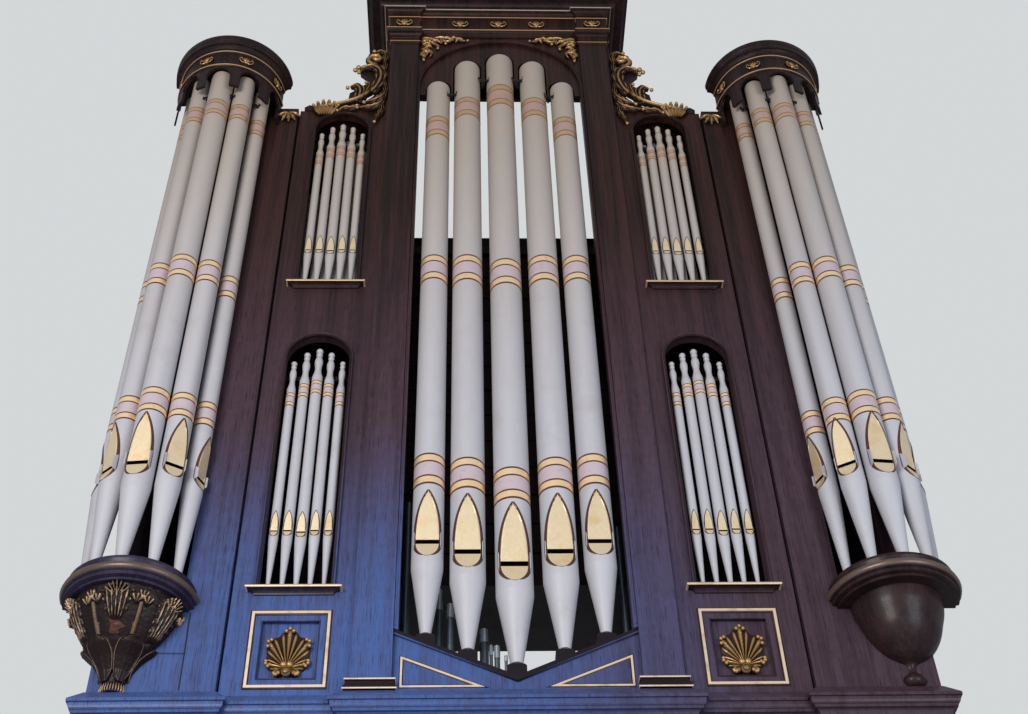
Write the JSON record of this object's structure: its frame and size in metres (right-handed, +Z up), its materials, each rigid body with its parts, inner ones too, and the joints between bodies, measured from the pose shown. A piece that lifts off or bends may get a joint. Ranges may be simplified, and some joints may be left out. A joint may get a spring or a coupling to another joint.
{
  "type": "pipe organ",
  "caption": "Pipe organ in a dark wood case: banded painted pipes stand in a round-headed centre tower, in arched flats at two levels, and in half-round end towers on corbels.",
  "frame": {"origin": "on the floor, on the centre line of the case, in the plane of the front boards", "axes": "+X to the right of someone facing the organ, +Y into the case, +Z up"},
  "size_m": [4.0712, 1.7639, 7.555],
  "materials": {
    "mahogany": "polished mahogany, dark red-brown",
    "dark_mahogany": "dark stained mahogany, satin",
    "gilding": "old gold leaf over carved wood",
    "pipe_paint": "warm grey paint with gilt and pink bands",
    "pipe_metal": "dull spotted pipe metal",
    "frame_timber": "dark building-frame timber",
    "iron": "black ironwork"
  },
  "bodies": {
    "root": {"plinth": "mahogany", "lower_front": "mahogany", "lower_panels": "mahogany", "impost": "mahogany", "side_left": "mahogany", "side_right": "mahogany", "end_front_left": "mahogany", "end_front_right": "mahogany", "flat_front_left": "mahogany", "flat_front_right": "mahogany", "flat_sills": "mahogany", "panel_boards": "mahogany", "pilaster_left": "mahogany", "pilaster_right": "mahogany", "vee_sill": "mahogany", "arch_front": "mahogany", "arch_moulding": "mahogany", "entablature": "mahogany", "centre_sides": "mahogany", "corbel_right": "mahogany", "flat_arches": "dark_mahogany", "pipe_shade": "dark_mahogany", "cornice": "dark_mahogany", "tower_crown_left": "dark_mahogany", "tower_crown_right": "dark_mahogany", "tower_shades": "dark_mahogany", "corbel_left": "dark_mahogany", "panel_mouldings": "gilding", "carved_shells": "gilding", "scroll_brackets": "gilding", "gilt_leaves": "gilding", "centre_pipe_1": "pipe_paint", "centre_pipe_2": "pipe_paint", "centre_pipe_3": "pipe_paint", "centre_pipe_4": "pipe_paint", "centre_pipe_5": "pipe_paint", "flat_pipes_lower_left": "pipe_paint", "flat_pipes_lower_right": "pipe_paint", "flat_pipes_upper_left": "pipe_paint", "flat_pipes_upper_right": "pipe_paint", "rear_flat_pipes": "pipe_paint", "tower_pipes_left": "pipe_paint", "tower_pipes_right": "pipe_paint", "inner_pipes": "pipe_metal", "inner_posts": "frame_timber", "cross_rails": "frame_timber", "deep_rails": "frame_timber", "wind_chest": "frame_timber", "swell_box": "frame_timber", "dust_boards": "frame_timber", "back_boards": "frame_timber", "pipe_stays": "iron"}
  },
  "joints": []
}
